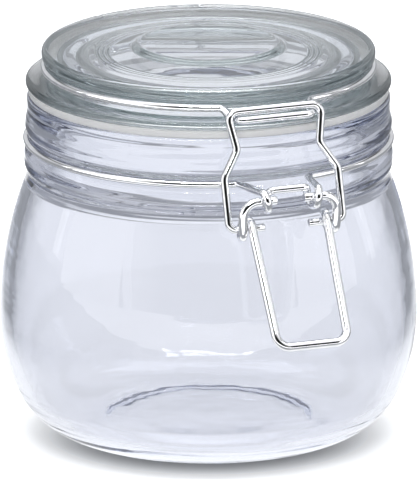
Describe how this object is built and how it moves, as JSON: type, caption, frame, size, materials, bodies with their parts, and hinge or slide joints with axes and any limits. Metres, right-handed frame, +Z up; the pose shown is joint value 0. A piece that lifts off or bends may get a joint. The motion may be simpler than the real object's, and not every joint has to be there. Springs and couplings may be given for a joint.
{
  "type": "bail clamp storage jar",
  "caption": "Squat clear glass jar with a hinged glass lid, sealing ring and over-centre wire bail clamp.",
  "frame": {"origin": "on the ground under the jar's axis, in the plane of the foot ring", "axes": "+Z up along the jar's axis, clamp towards -Y, lid hinge towards +Y"},
  "size_m": [0.11, 0.1369, 0.1056],
  "materials": {
    "glass": "clear polished",
    "lid_glass": "clear polished",
    "seal": "translucent satin",
    "wire": "polished"
  },
  "bodies": {
    "jar": {"jar_body": "glass", "neck_wire": "wire"},
    "lid_group": {"lid": "lid_glass", "gasket": "seal", "lid_wire": "wire"},
    "lever_group": {"lever": "wire"},
    "bail_group": {"bail": "wire"}
  },
  "joints": [
    {"name": "lid_hinge", "type": "hinge", "parent": "jar", "child": "lid_group", "pos_m": [0, 0.056, 0.0885], "axis": [-1, 0, 0], "range_deg": [0, 110]},
    {"name": "lever_swing", "type": "hinge", "parent": "jar", "child": "lever_group", "pos_m": [0, -0.0595, 0.078], "axis": [-1, 0, 0], "range_deg": [0, 110]},
    {"name": "bail_swing", "type": "hinge", "parent": "lever_group", "child": "bail_group", "pos_m": [0, -0.0568, 0.0702], "axis": [1, 0, 0], "range_deg": [0, 148.5]}
  ],
  "couplings": [
    {"joint": "bail_swing", "follows": "lever_swing", "ratio": 1.35}
  ]
}
